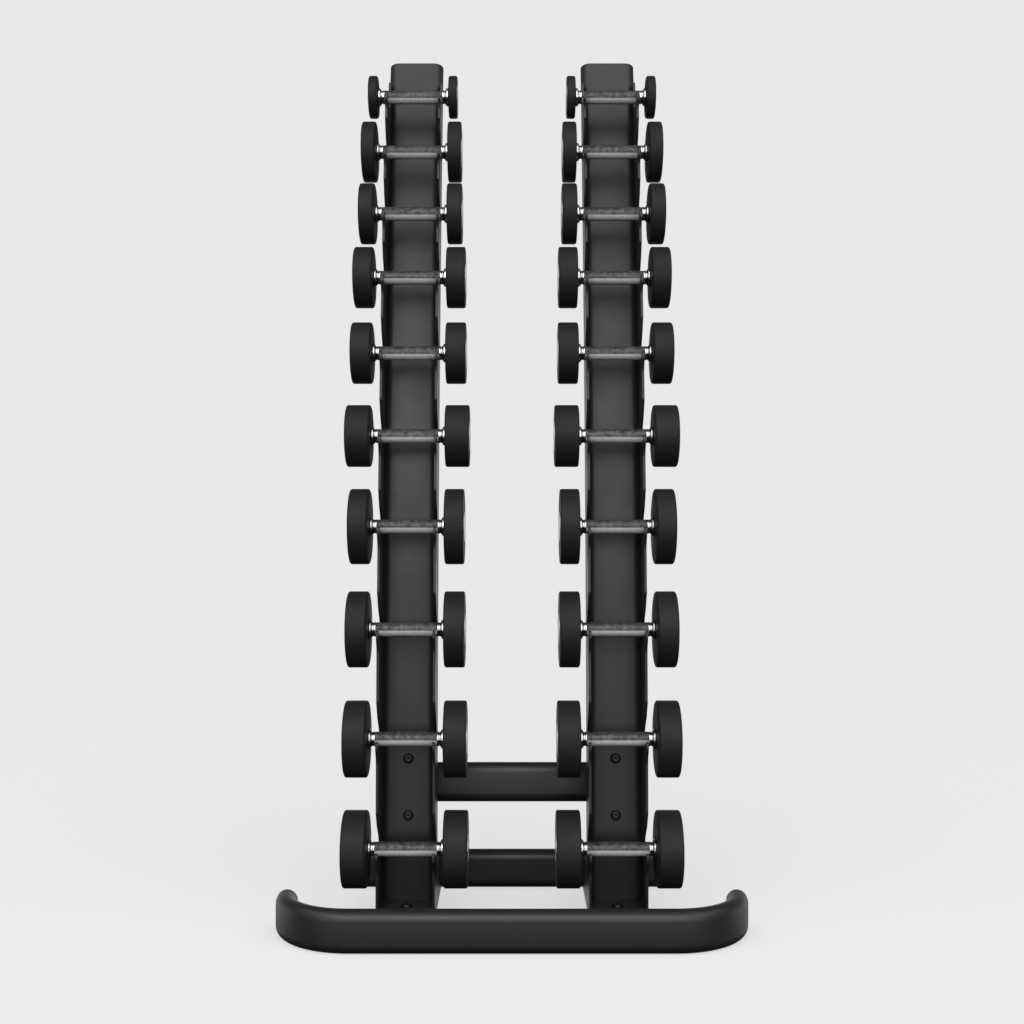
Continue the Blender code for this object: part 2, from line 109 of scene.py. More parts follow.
# Saddle plates, ahead of and above a handle's centre; a roof point is ahead, up, corner radius
SADDLE_RADIUS = 0.0144
RAMP_ANGLE = np.radians(24.0)
POCKET_ANGLE = np.radians(17.0)
NOSE_AHEAD = 0.0345
LIP_ROUND = 0.0045
NOSE_UP = -0.020
NOSE_ROOT_UP = -0.038
EDGE_AHEAD = 0.018
POCKET_BEHIND = 0.046
POCKET_CORNER = 0.004
POCKET_HEIGHT = 0.014
ROOF = ((-0.023, 0.029, 0.008), (-0.003, 0.044, 0.008), (0.012, 0.066, 0.005))
ROOF_EDGE_UP = 0.070
PLATE_ABOVE_TOP_HANDLE = 0.0694
HORN_SETBACK = 0.047
HORN_ROOT_UP = 0.014
GUSSET_TOP = 0.107
GUSSET_TOE = 0.022
FLOOR_ROOM = 0.002

# Beads between plates and uprights: where they start and end, and how far back and out they lie
PLATE_WELD_START = 0.118
PLATE_WELD_PAST_TOP_HANDLE = 0.066
PLATE_WELD_BACK = 0.0032
PLATE_WELD_OUT = 0.0026

# Dumbbells
GRIP_RADIUS = 0.014
GRIP_PAST_PLATE = 0.0032
COLLAR_RADIUS = 0.019
ROD_RADIUS = 0.0045
DISC_RECESS = 0.0010
LARGE_HEAD, MEDIUM_HEAD, SMALL_HEAD = 0.075, 0.0621, 0.0438
HEAD_RADIUS = {name: MEDIUM_HEAD for name in LEVELS} | {name: LARGE_HEAD for name in LEVELS[:4]}
HEAD_RADIUS[LEVELS[-1]] = SMALL_HEAD

# Brighter strip of the grips, a painted sheen: elevation of its upper edge's normal, in degrees, and its
# width
SHEEN_AT_FLOOR = 2.0
SHEEN_AT_TOP = -20.0
SHEEN_WIDTH = 75.0

# Studio brightness by height: (0 straight down, 0.5 horizon, 1 straight up; grey value)
FRONT_SKY = (
    (0.0, 0.02), (0.36, 0.02), (0.43, 0.8), (0.49, 1.5), (0.58, 1.15), (0.67, 0.85), (0.77, 1.55),
    (0.86, 2.3), (0.92, 2.1), (0.97, 0.35), (1.0, 0.25),
)
BACK_SKY = ((0.0, 0.02), (0.3, 0.05), (0.38, 0.7), (0.5, 0.8), (0.6, 0.6), (0.7, 0.1), (1.0, 0.06))
SIDE_GREY = (0.1, 0.1, 0.1)


def box(node):
    low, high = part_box(node)
    return np.array(low, float), np.array(high, float)


def middle(node):
    low, high = box(node)
    return (low + high) / 2


LOWEST = middle("heads_left_10kg")
DEPTH_CENTRE = ARC_RADIUS * (1 - np.cos(np.arcsin(LOWEST[2] / ARC_RADIUS))) - LOWEST[1]
LEVEL_ANGLES = [float(np.arcsin(middle("heads_left_" + name)[2] / ARC_RADIUS)) for name in LEVELS]
UPRIGHT_TOP = LEVEL_ANGLES[-1] + UPRIGHT_ABOVE_TOP_HANDLE / ARC_RADIUS
TOWER_X = {side: float(middle("upright_" + side)[0]) for side in SIDES}
TOWER_HALF = float(box("upright_left")[1][0] - box("upright_left")[0][0]) / 2
PLATE_THICKNESS = float(np.ptp(np.array(box("saddle_plate_left_outer")), axis=0)[0])
INSIDE_HALF = TOWER_HALF - PLATE_THICKNESS
HANDLE_HALF = float(np.ptp(np.array(box("handle_left_10kg")), axis=0)[0]) / 2 + GAP
GRIP_HALF = TOWER_HALF + GRIP_PAST_PLATE


# Shapes


def arc_place(angle, behind):
    """(y, z) at an angle along the arc: a circle of radius ARC_RADIUS less the distance behind."""
    radius = ARC_RADIUS - np.asarray(behind)
    return ARC_RADIUS - radius * np.cos(angle) - DEPTH_CENTRE, radius * np.sin(angle)


def local_place(angle, ahead, up):
    """(y, z) of a point given ahead of and above the handle at this angle."""
    y, z = arc_place(angle, 0.0)
    ahead, up = np.asarray(ahead), np.asarray(up)
    return y - ahead * np.cos(angle) + up * np.sin(angle), z + ahead * np.sin(angle) + up * np.cos(angle)


def leaned(points, angle, behind, x=0.0):
    """Turns local (x, back, up) points to the arc's lean at an angle and puts them there."""
    y, z = arc_place(angle, behind)
    back = np.array([0.0, np.cos(angle), -np.sin(angle)])
    rise = np.array([0.0, np.sin(angle), np.cos(angle)])
    side = np.array([1.0, 0.0, 0.0])
    turned = points[..., :1] * side + points[..., 1:2] * back + points[..., 2:3] * rise
    return turned + np.array([x, y, z])


def oval(long, short, inset=0.0, steps=OVAL_STEPS):
    """Flat oval: two half circles of the short side's radius, joined by straight sides."""
    radius = short / 2
    turn = np.linspace(-np.pi / 2, np.pi / 2, steps + 1)
    half = np.stack(
        [long / 2 - radius + (radius - inset) * np.cos(turn), (radius - inset) * np.sin(turn)], axis=1
    )
    return np.concatenate([half, -half])


def circle(radius, sides):
    turn = np.arange(sides) * 2 * np.pi / sides
    return np.stack([radius * np.cos(turn), radius * np.sin(turn)], axis=1)


def rounded(points, radii, steps=6, closed=True):
    """Polyline with each corner eased: from one side of the corner to the other along
    (1-s)^2 A + 2s(1-s) C + s^2 B, where A and B lie the corner's radius away from C."""
    points, radii = np.asarray(points, float), np.asarray(radii, float)[:, None]
    before, after = np.roll(points, 1, axis=0), np.roll(points, -1, axis=0)
    to_before, to_after = before - points, after - points
    length_before = np.maximum(np.linalg.norm(to_before, axis=1, keepdims=True), 1e-9)
    length_after = np.maximum(np.linalg.norm(to_after, axis=1, keepdims=True), 1e-9)
    start = points + to_before / length_before * np.minimum(radii, length_before * 0.49)
    end = points + to_after / length_after * np.minimum(radii, length_after * 0.49)
    if not closed:
        start[0] = end[0] = points[0]
        start[-1] = end[-1] = points[-1]
    s = np.linspace(0.0, 1.0, steps + 1)[None, :, None]
    curve = (1 - s) ** 2 * start[:, None] + 2 * s * (1 - s) * points[:, None] + s**2 * end[:, None]
    curve = curve.reshape(-1, points.shape[1])
    keep = np.linalg.norm(curve - np.roll(curve, 1, axis=0), axis=1) > 2e-5
    if not closed:
        keep[0] = True
    return curve[keep]


class Surface:
    """Points and faces of one mesh, gathered from several ringed surfaces."""

    def __init__(self):
        self.points, self.faces, self.count = [], [], 0

    def rings(self, rings, loop=False, caps=True):
        """Quads between rings of equal count, each ring closed on itself. Either the last ring joins
        the first (loop), or the end rings are filled."""
        rings = np.asarray(rings, float)
        rows, columns = rings.shape[:2]
        index = np.arange(rows * columns).reshape(rows, columns) + self.count
        if loop:
            index = np.concatenate([index, index[:1]])
        low, high = index[:-1], index[1:]
        quads = np.stack([low, np.roll(low, -1, axis=1), np.roll(high, -1, axis=1), high], axis=-1)
        self.faces += quads.reshape(-1, 4).tolist()
        if caps and not loop:
            self.faces += [index[0].tolist(), index[-1].tolist()]
        self.points.append(rings.reshape(-1, 3))
        self.count += rows * columns
        return self

    def mesh(self, name, sharp=35.0):
        """Mesh with its faces turned outwards, smooth but for edges sharper than an angle."""
        made = bpy.data.meshes.new(name)
        made.from_pydata(np.concatenate(self.points).tolist(), [], self.faces)
        shape = bmesh.new()
        shape.from_mesh(made)
        bmesh.ops.recalc_face_normals(shape, faces=shape.faces)
        shape.to_mesh(made)
        shape.free()
        made.shade_smooth()
        made.set_sharp_from_angle(angle=np.radians(sharp))
        return made


def turned(profile, sides, phase=0.0):
    """Rings about the X axis: (along, radius cos t, radius sin t) for each point of the profile."""
    profile = np.asarray(profile, float)
    turn = np.arange(sides) * 2 * np.pi / sides + phase
    along = np.repeat(profile[:, :1], sides, axis=1)
    ring = profile[:, 1:2]
    return np.stack([along, ring * np.cos(turn), ring * np.sin(turn)], axis=-1)


def swept(section, centres, outs, ups):
    """Section's (a, b) points carried along a path: centre + a up + b out."""
    a, b = section[None, :, :1], section[None, :, 1:2]
    return centres[:, None] + a * ups[:, None] + b * outs[:, None]


def slab(outline, thickness, ease):
    """Rings that carry an outline through a plate: eased edge, flat edge, eased edge. An eased ring
    is the outline moved in along its own normal."""
    tangent = np.roll(outline, -1, axis=0) - np.roll(outline, 1, axis=0)
    tangent /= np.maximum(np.linalg.norm(tangent, axis=1, keepdims=True), 1e-9)
    normal = np.stack([tangent[:, 1], -tangent[:, 0]], axis=1)
    shifted = np.roll(outline, -1, axis=0)
    area = np.sum(outline[:, 0] * shifted[:, 1] - shifted[:, 0] * outline[:, 1])
    normal *= np.sign(area)
    corner = np.array([[0.0, 1.0], [0.293, 0.293], [1.0, 0.0]]) * ease
    steps = np.concatenate([corner, np.stack([thickness - corner[::-1, 0], corner[::-1, 1]], axis=1)])
    flat = outline[None] - normal[None] * steps[:, None, 1:2]
    depth = np.repeat(steps[:, None, :1], len(outline), axis=1)
    return np.concatenate([depth, flat], axis=2)


def bead(path, radius, sides=10, ripple=0.12, pitch=0.0024):
    """Weld bead: a circle carried along a path, its radius swelling once in each ripple's pitch."""
    path = np.asarray(path, float)
    tangent = np.gradient(path, axis=0)
    tangent /= np.linalg.norm(tangent, axis=1, keepdims=True)
    helper = np.array([0.13, 0.21, 0.97])
    if abs(tangent[0] @ helper) > 0.8:
        helper = np.array([0.97, 0.21, 0.13])
    across = np.cross(tangent, helper)
    across /= np.linalg.norm(across, axis=1, keepdims=True)
    other = np.cross(tangent, across)
    run = np.concatenate([[0.0], np.cumsum(np.linalg.norm(np.diff(path, axis=0), axis=1))])
    size = radius * (1 + ripple * np.abs(np.sin(np.pi * run / pitch)))
    size[[0, -1]] *= 0.35
    turn = np.arange(sides) * 2 * np.pi / sides
    ring = across[:, None] * np.cos(turn)[None, :, None] + other[:, None] * np.sin(turn)[None, :, None]
    return path[:, None] + size[:, None, None] * ring


def add(name, mesh, finish, body, slot, *nodes):
    """Puts a finished mesh in the scene as a piece that rides on a body and stands for some nodes."""
    piece = bpy.data.objects.new(name, mesh)
    bpy.context.scene.collection.objects.link(piece)
    for coat in finish if isinstance(finish, (list, tuple)) else [finish]:
        piece.data.materials.append(coat)
    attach(piece, body)
    if nodes:
        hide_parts(*nodes)
    return piece


# Finishes


def new_group(name, inputs, outputs):
    """Shader node group with named value inputs and outputs."""
    group = bpy.data.node_groups.new(name, "ShaderNodeTree")
    for label, kind, default in inputs:
        socket = group.interface.new_socket(name=label, in_out="INPUT", socket_type=kind)
        if default is not None:
            socket.default_value = default
    for label, kind in outputs:
        group.interface.new_socket(name=label, in_out="OUTPUT", socket_type=kind)
    return group, group.nodes.new("NodeGroupInput"), group.nodes.new("NodeGroupOutput")


def math_node(tree, operation, first, second=None, clamp=False):
    node = tree.nodes.new("ShaderNodeMath")
    node.operation = operation
    node.use_clamp = clamp
    for socket, value in zip(node.inputs, (first, second)):
        if isinstance(value, bpy.types.NodeSocket):
            tree.links.new(value, socket)
        elif value is not None:
            socket.default_value = value
    return node.outputs[0]


def ranged(tree, value, low, high, to_low=0.0, to_high=1.0):
    """Carries a value from one range to another, and stops at the ends."""
    node = tree.nodes.new("ShaderNodeMapRange")
    node.inputs["From Min"].default_value = low
    node.inputs["From Max"].default_value = high
    for label, end in (("To Min", to_low), ("To Max", to_high)):
        if isinstance(end, bpy.types.NodeSocket):
            tree.links.new(end, node.inputs[label])
        else:
            node.inputs[label].default_value = end
    tree.links.new(value, node.inputs["Value"])
    return node.outputs["Result"]


def mixed(tree, factor, first, second):
    """Mix of two colours, each a socket or three values."""
    mix = tree.nodes.new("ShaderNodeMix")
    mix.data_type = "RGBA"
    tree.links.new(factor, mix.inputs["Factor"])
    for label, colour in (("A", first), ("B", second)):
        if isinstance(colour, bpy.types.NodeSocket):
            tree.links.new(colour, mix.inputs[label])
        else:
            mix.inputs[label].default_value = (*colour, 1.0)
    return mix.outputs["Result"]


def grain_group():
    """Fine grain: two sizes of noise added as a height, and their contrast as a mask."""
    name = "rack_fine_grain"
    if name in bpy.data.node_groups:
        return bpy.data.node_groups[name]
    inputs = [("Place", "NodeSocketVector", None), ("Scale", "NodeSocketFloat", 900.0)]
    outputs = [("Height", "NodeSocketFloat"), ("Mask", "NodeSocketFloat")]
    group, start, end = new_group(name, inputs, outputs)
    fine = group.nodes.new("ShaderNodeTexNoise")
    fine.inputs["Detail"].default_value = 2.0
    coarse = group.nodes.new("ShaderNodeTexNoise")
    coarse.inputs["Detail"].default_value = 1.0
    group.links.new(start.outputs["Place"], fine.inputs["Vector"])
    group.links.new(start.outputs["Place"], coarse.inputs["Vector"])
    group.links.new(start.outputs["Scale"], fine.inputs["Scale"])
    group.links.new(math_node(group, "MULTIPLY", start.outputs["Scale"], 0.31), coarse.inputs["Scale"])
    mixed = math_node(group, "MULTIPLY", coarse.outputs["Fac"], 0.6)
    height = math_node(group, "ADD", math_node(group, "MULTIPLY", fine.outputs["Fac"], 0.4), mixed)
    group.links.new(height, end.inputs["Height"])
    contrast = math_node(group, "MULTIPLY_ADD", height, 3.0)
    contrast.node.inputs[2].default_value = -1.0
    contrast.node.use_clamp = True
    group.links.new(contrast, end.inputs["Mask"])
    return group


def blotch_group():
    """Broad, soft variation between a low and a high value, as in handled or sprayed surfaces."""
    name = "rack_soft_blotches"
    if name in bpy.data.node_groups:
        return bpy.data.node_groups[name]
    inputs = [
        ("Place", "NodeSocketVector", None),
        ("Scale", "NodeSocketFloat", 14.0),
        ("Low", "NodeSocketFloat", 0.35),
        ("High", "NodeSocketFloat", 0.45),
    ]
    group, start, end = new_group(name, inputs, [("Value", "NodeSocketFloat")])
    noise = group.nodes.new("ShaderNodeTexNoise")
    noise.inputs["Detail"].default_value = 3.0
    noise.inputs["Roughness"].default_value = 0.55
    group.links.new(start.outputs["Place"], noise.inputs["Vector"])
    group.links.new(start.outputs["Scale"], noise.inputs["Scale"])
    low, high = start.outputs["Low"], start.outputs["High"]
    spread = ranged(group, noise.outputs["Fac"], 0.32, 0.68, low, high)
    group.links.new(spread, end.inputs["Value"])
    return group


def scuff_group():
    """Sparse fine scuffs: noise stretched along the rack's width, kept only where it is highest."""
    name = "rack_fine_scuffs"
    if name in bpy.data.node_groups:
        return bpy.data.node_groups[name]
    inputs = [("Place", "NodeSocketVector", None), ("Amount", "NodeSocketFloat", 0.3)]
    group, start, end = new_group(name, inputs, [("Mask", "NodeSocketFloat")])
    stretch = group.nodes.new("ShaderNodeMapping")
    stretch.inputs["Scale"].default_value = (6.0, 160.0, 190.0)
    noise = group.nodes.new("ShaderNodeTexNoise")
    noise.inputs["Scale"].default_value = 3.0
    noise.inputs["Detail"].default_value = 3.0
    group.links.new(start.outputs["Place"], stretch.inputs["Vector"])
    group.links.new(stretch.outputs["Vector"], noise.inputs["Vector"])
    highest = ranged(group, noise.outputs["Fac"], 0.62, 0.78)
    kept = math_node(group, "MULTIPLY", highest, start.outputs["Amount"])
    group.links.new(kept, end.inputs["Mask"])
    return group


def finish(
    name, base, light, rough, grain_scale, bump, metallic=0.0, scuffs=0.0, blotch=14.0, specular=0.5
):
    """Principled finish: grain as bump, blotches on roughness, and the lighter colour in the grain's
    peaks and scuffs."""
    if name in bpy.data.materials:
        return bpy.data.materials[name]
    made = bpy.data.materials.new(name)
    made.use_nodes = True
    tree = made.node_tree
    shader = tree.nodes["Principled BSDF"]
    shader.inputs["Metallic"].default_value = metallic
    shader.inputs["Specular IOR Level"].default_value = specular
    place = tree.nodes.new("ShaderNodeTexCoord").outputs["Object"]
    grain = tree.nodes.new("ShaderNodeGroup")
    grain.node_tree = grain_group()
    grain.inputs["Scale"].default_value = grain_scale
    blotches = tree.nodes.new("ShaderNodeGroup")
    blotches.node_tree = blotch_group()
    blotches.inputs["Scale"].default_value = blotch
    blotches.inputs["Low"].default_value = rough[0]
    blotches.inputs["High"].default_value = rough[1]
    for group in (grain, blotches):
        tree.links.new(place, group.inputs["Place"])
    tree.links.new(blotches.outputs["Value"], shader.inputs["Roughness"])
    weight = math_node(tree, "MULTIPLY", grain.outputs["Mask"], 0.55)
    if scuffs:
        marks = tree.nodes.new("ShaderNodeGroup")
        marks.node_tree = scuff_group()
        marks.inputs["Amount"].default_value = scuffs
        tree.links.new(place, marks.inputs["Place"])
        weight = math_node(tree, "ADD", weight, marks.outputs["Mask"], clamp=True)
    tree.links.new(mixed(tree, weight, base, light), shader.inputs["Base Color"])
    relief = tree.nodes.new("ShaderNodeBump")
    relief.inputs["Strength"].default_value = bump
    relief.inputs["Distance"].default_value = 0.0002
    tree.links.new(grain.outputs["Height"], relief.inputs["Height"])
    tree.links.new(relief.outputs["Normal"], shader.inputs["Normal"])
    made.diffuse_color = (*base, 1.0)
    return made


def knurled_finish(looks):
    """Dull metal knurling: light crests over grooves darkened as painted shade, by the mesh's crest
    attribute, and a brighter strip of painted sheen by its strip attribute."""
    name = "knurled_chrome"
    if name in bpy.data.materials:
        return bpy.data.materials[name]
    made = finish(name, (0.2, 0.2, 0.205), (0.3, 0.3, 0.31), (0.4, 0.5), 400.0, 0.3, metallic=1.0)
    tree = made.node_tree
    shader = tree.nodes["Principled BSDF"]
    crest = tree.nodes.new("ShaderNodeAttribute")
    crest.attribute_name = "crest"
    sheen_strip = tree.nodes.new("ShaderNodeAttribute")
    sheen_strip.attribute_name = "sheen_strip"
    speckle = next(node for node in tree.nodes if node.type == "GROUP" and "Scale" in node.inputs)
    # Painted shade: groove points keep a far darker colour than crests; the grain picks which crest points
    # take the light one
    crest_speckle_over_groove_shade = math_node(tree, "MULTIPLY", crest.outputs["Fac"], speckle.outputs["Mask"])
    plain = mixed(tree, crest_speckle_over_groove_shade, looks.knurl_groove_shade, looks.knurl_crest)
    # Painted sheen: on the strip the knurl takes far lighter colours and is less metallic
    sheen_colour = mixed(tree, crest_speckle_over_groove_shade, looks.sheen_groove, looks.sheen_crest)
    tree.links.new(mixed(tree, sheen_strip.outputs["Fac"], plain, sheen_colour), shader.inputs["Base Color"])
    metal = math_node(tree, "MULTIPLY_ADD", sheen_strip.outputs["Fac"], -0.15)
    metal.node.inputs[2].default_value = 0.25
    tree.links.new(metal, shader.inputs["Metallic"])
    return made


def lighter(colour, times):
    return [value * times for value in colour]


def frame_coat(looks):
    c = looks.frame_colour
    return finish("satin_powder_coat", c, lighter(c, 1.5), (0.36, 0.46), 1100.0, 0.22, scuffs=0.25)


def bar_coat(looks):
    c = looks.frame_colour
    return finish("bar_powder_coat", c, lighter(c, 1.5), (0.34, 0.44), 1100.0, 0.22, scuffs=0.3)


def rubber_skin(looks):
    c = looks.rubber_colour
    light = lighter(c, 1.9)
    return finish("head_rubber_skin", c, light, (0.5, 0.62), 1500.0, 0.35, blotch=22.0, specular=0.2)


def polished(looks):
    c = looks.chrome_colour
    return finish("polished_chrome", c, lighter(c, 1.08), (0.07, 0.13), 500.0, 0.03, metallic=1.0)


def disc_metal(looks):
    c = looks.disc_colour
    return finish("satin_disc_steel", c, lighter(c, 1.1), (0.2, 0.3), 900.0, 0.08, metallic=1.0, scuffs=0.3)


def bolt_black():
    dark, light = (0.009, 0.009, 0.01), (0.03, 0.03, 0.032)
    return finish("black_oxide", dark, light, (0.3, 0.4), 1300.0, 0.2, metallic=0.5)


def moulded_black():
    dark, light = (0.02, 0.02, 0.021), (0.032, 0.032, 0.033)
    return finish("moulded_black", dark, light, (0.42, 0.5), 1700.0, 0.3)


# Settings


def colour_setting(name, description, default):
    return bpy.props.FloatVectorProperty(
        name=name, description=description, subtype="COLOR", size=3, min=0.0, max=1.0, default=default
    )


def length_setting(name, description, default):
    return bpy.props.FloatProperty(name=name, description=description, unit="LENGTH", default=default)


class RackLooks(bpy.types.PropertyGroup):
    """Colours of the rack's finishes."""

    frame_colour: colour_setting("Frame", "Powder coat of bars, uprights and plates", (0.013, 0.013, 0.0135))
    rubber_colour: colour_setting("Heads", "Rubber skin of the heads", (0.012, 0.012, 0.0125))
    chrome_colour: colour_setting("Chrome", "Necks and collars", (0.72, 0.72, 0.73))
    disc_colour: colour_setting("Discs", "Metal discs on the heads' outer faces", (0.5, 0.5, 0.51))
    knurl_crest: colour_setting("Knurl crests", "Raised points of the knurling", (0.21, 0.21, 0.214))
    # Painted shade: the grooves' colour, far darker than the crests'
    knurl_groove_shade: colour_setting("Knurl grooves", "Grooves of the knurling", (0.01, 0.01, 0.0105))
    # Painted sheen: the knurl's colours on the grips' brighter strip
    sheen_crest: colour_setting("Strip crests", "Raised points on the brighter strip", (0.80, 0.80, 0.81))
    sheen_groove: colour_setting("Strip grooves", "Grooves on the brighter strip", (0.55, 0.55, 0.56))


class RackSizes(bpy.types.PropertyGroup):
    """Small sizes that only the visible pieces have."""

    plate_edge: length_setting("Plate edge", "Easing of the plates' cut edges", 0.0006)
    head_edge: length_setting("Head edge", "Rounding of the heads' rims", 0.0045)
    disc_radius: length_setting("Disc radius", "Disc on a head's outer face", 0.0295)
    knurl_depth: length_setting("Knurl depth", "Groove depth of the grips", 0.00045)
    knurl_rows: bpy.props.IntProperty(name="Knurl rows", description="Points along", default=110)
    knurl_sides: bpy.props.IntProperty(name="Knurl sides", description="Points round", default=80)
    weld_radius: length_setting("Weld", "Size of the weld beads", 0.0025)


class RackStage(bpy.types.PropertyGroup):
    """Floor, light and camera."""

    backdrop: bpy.props.FloatProperty(name="Backdrop", description="Brightness behind", default=0.81)
    floor: bpy.props.FloatProperty(name="Floor", description="Floor's reflectance", default=0.30)
    floor_glow: bpy.props.FloatProperty(name="Floor glow", description="Floor's own light", default=0.60)
    lens: bpy.props.FloatProperty(name="Lens", description="Focal length in mm", default=49.763)
    view_shift: bpy.props.FloatProperty(
        name="View shift", description="Part of the picture's height", precision=5, default=-0.00075
    )
    camera_height: length_setting("Camera height", "Above the floor", 0.7985)
    camera_distance: length_setting("Camera distance", "From the foot of the handles' arc", 2.7704)


# Pieces


def bar_section(inset=0.0):
    """Flat oval as high and as deep as the rear bar, drawn in by an inset."""
    low, high = box("rear_foot_bar")
    return oval(high[2] - low[2], high[1] - low[1], inset)


def tube(shape, centres, outs):
    """Hollow bar along a path: outer skin there and inner skin back, joined at both ends."""
    ups = np.tile([0.0, 0.0, 1.0], (len(centres), 1))
    outer = swept(bar_section(), centres, outs, ups)
    inner = swept(bar_section(BAR_WALL), centres, outs, ups)
    shape.rings(np.concatenate([outer, inner[::-1]]), loop=True)


def end_plug(centre, direction, out):
    """Moulded plug in a bar's end: a stem inside the bar and a domed lid whose rings shrink along a
    quarter ellipse."""
    up = np.array([0.0, 0.0, 1.0])
    turn = np.linspace(0.15, 1.0, 7) * np.pi / 2
    inset = [BAR_WALL + GAP, BAR_WALL + GAP, PLUG_SEAM, 0.0, *(DOME_INSET * (1 - np.cos(turn)))]
    reach = [-STEM_LENGTH, PLUG_SEAM, PLUG_SEAM, LID_EDGE, *(LID_EDGE + DOME_HEIGHT * np.sin(turn))]
    rings = []
    for ring_inset, distance in zip(inset, reach):
        section = bar_section(ring_inset)
        rings.append(centre + direction * distance + section[:, :1] * up + section[:, 1:2] * out)
    return np.array(rings)


class RACK_OT_floor_bars(bpy.types.Operator):
    """Front bar with its two bent ends, straight rear bar, and the plugs in their ends"""

    bl_idname = "rack.floor_bars"
    bl_label = "Floor bars"

    def execute(self, context):
        coat, plastic = bar_coat(context.scene.rack_looks), moulded_black()
        low, high = box("front_foot_bar")
        depth = np.ptp(np.array(box("rear_foot_bar")), axis=0)[1]
        y, z = low[1] + depth / 2, (low[2] + high[2]) / 2
        straight = high[0] - depth / 2 - BEND_RADIUS
        turn = np.linspace(0.0, np.pi / 2, 40)
        outs = np.stack([np.sin(turn), -np.cos(turn), np.zeros_like(turn)], axis=1)
        right = np.array([straight, y + BEND_RADIUS, z]) + BEND_RADIUS * outs
        mirror = np.array([-1.0, 1.0, 1.0])
        centres = np.concatenate([(right * mirror)[::-1], right])
        all_outs = np.concatenate([(outs * mirror)[::-1], outs])
        shape = Surface()
        tube(shape, centres, all_outs)
        add("floor_bar_front", shape.mesh("floor_bar_front"), coat, "root", "frame_paint", "front_foot_bar")
        rear_low, rear_high = box("rear_foot_bar")
        rear_middle = (rear_low + rear_high) / 2
        ends = np.array([[rear_low[0], *rear_middle[1:]], [rear_high[0], *rear_middle[1:]]])
        fronts = np.tile([0.0, -1.0, 0.0], (2, 1))
        shape = Surface()
        tube(shape, ends, fronts)
        add("floor_bar_rear", shape.mesh("floor_bar_rear"), coat, "root", "frame_paint", "rear_foot_bar")
        back = np.array([0.0, 1.0, 0.0])
        side = np.array([1.0, 0.0, 0.0])
        for name, centre, direction, out in (
            ("front_left", centres[0], back, all_outs[0]),
            ("front_right", centres[-1], back, all_outs[-1]),
            ("rear_left", ends[0], -side, fronts[0]),
            ("rear_right", ends[1], side, fronts[0]),
        ):
            plug = Surface().rings(end_plug(centre, direction, out)).mesh("bar_plug_" + name)
            add("bar_plug_" + name, plug, plastic, "root", "cap_plastic")
        return {"FINISHED"}


class RACK_OT_foot_rails(bpy.types.Operator):
    """Finish of the flat foot rails, and the weld beads that hold them to the bars"""

    bl_idname = "rack.foot_rails"
    bl_label = "Foot rails"

    def execute(self, context):
        coat = frame_coat(context.scene.rack_looks)
        for side in SIDES:
            name = "foot_rail_" + side
            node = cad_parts[name]
            node.data.materials.clear()
            node.data.materials.append(coat)
            low, high = box(name)
            xs = np.linspace(low[0] + WELD_MARGIN, high[0] - WELD_MARGIN, 260)
            shape = Surface()
            for y in (low[1], high[1]):
                path = np.stack([xs, np.full_like(xs, y), np.full_like(xs, high[2])], axis=1)
                shape.rings(bead(path, context.scene.rack_sizes.weld_radius))
            add("rail_welds_" + side, shape.mesh("rail_welds"), coat, "root", "frame_paint")
        return {"FINISHED"}


class RACK_OT_uprights(bpy.types.Operator):
    """Curved flat-oval uprights, drawn in at the foot where the side plates run past"""

    bl_idname = "rack.uprights"
    bl_label = "Uprights"

    def execute(self, context):
        coat = frame_coat(context.scene.rack_looks)
        foot = box("upright_left")[0][2]
        steps = np.linspace(0.0, 1.0, 72)
        slot = SLOT_TOP / (ARC_RADIUS - UPRIGHT_SETBACK)
        angles = np.unique(np.concatenate([steps * UPRIGHT_TOP, [slot, slot + 1e-5]]))
        behind = UPRIGHT_SETBACK + UPRIGHT_DEPTH / 2
        for side in SIDES:
            skins = []
            for wall in (0.0, UPRIGHT_WALL):
                section = oval(2 * TOWER_HALF, UPRIGHT_DEPTH, wall)
                y, z = arc_place(angles[:, None], behind + section[None, :, 1])
                x = np.repeat(section[None, :, 0], len(angles), axis=0)
                z[0] = foot
                limit = np.where(angles[:, None] <= slot + 5e-6, INSIDE_HALF - GAP - wall, 1.0)
                x = np.clip(x, -limit, limit) + TOWER_X[side]
                skins.append(np.stack([x, y, z], axis=-1))
            shape = Surface().rings(np.concatenate([skins[0], skins[1][::-1]]), loop=True)
            name = "tower_tube_" + side
            add(name, shape.mesh(name), coat, "root", "frame_paint", "upright_" + side)
        return {"FINISHED"}


class RACK_OT_top_caps(bpy.types.Operator):
    """Moulded caps in the uprights' tops: a plug, a lid and a rounded rim"""

    bl_idname = "rack.top_caps"
    bl_label = "Top caps"

    def execute(self, context):
        plastic = moulded_black()
        top = GAP + CAP_THICKNESS
        turn = np.linspace(0.0, np.pi / 2, 6)
        inset = [UPRIGHT_WALL + GAP, UPRIGHT_WALL + GAP, 0.0, *(CAP_EDGE * (1 - np.cos(turn)))]
        height = [-PLUG_DEPTH, GAP, GAP, *(top - CAP_EDGE + CAP_EDGE * np.sin(turn))]
        for side in SIDES:
            rings = []
            for ring_inset, up in zip(inset, height):
                section = oval(2 * TOWER_HALF, UPRIGHT_DEPTH, ring_inset)
                rings.append(np.column_stack([section, np.full(len(section), up)]))
            behind = UPRIGHT_SETBACK + UPRIGHT_DEPTH / 2
            rings = leaned(np.array(rings), UPRIGHT_TOP, behind, TOWER_X[side])
            name = "tower_cap_" + side
            mesh = Surface().rings(rings).mesh(name)
            add(name, mesh, plastic, "root", "cap_plastic", "top_cap_" + side)
        return {"FINISHED"}


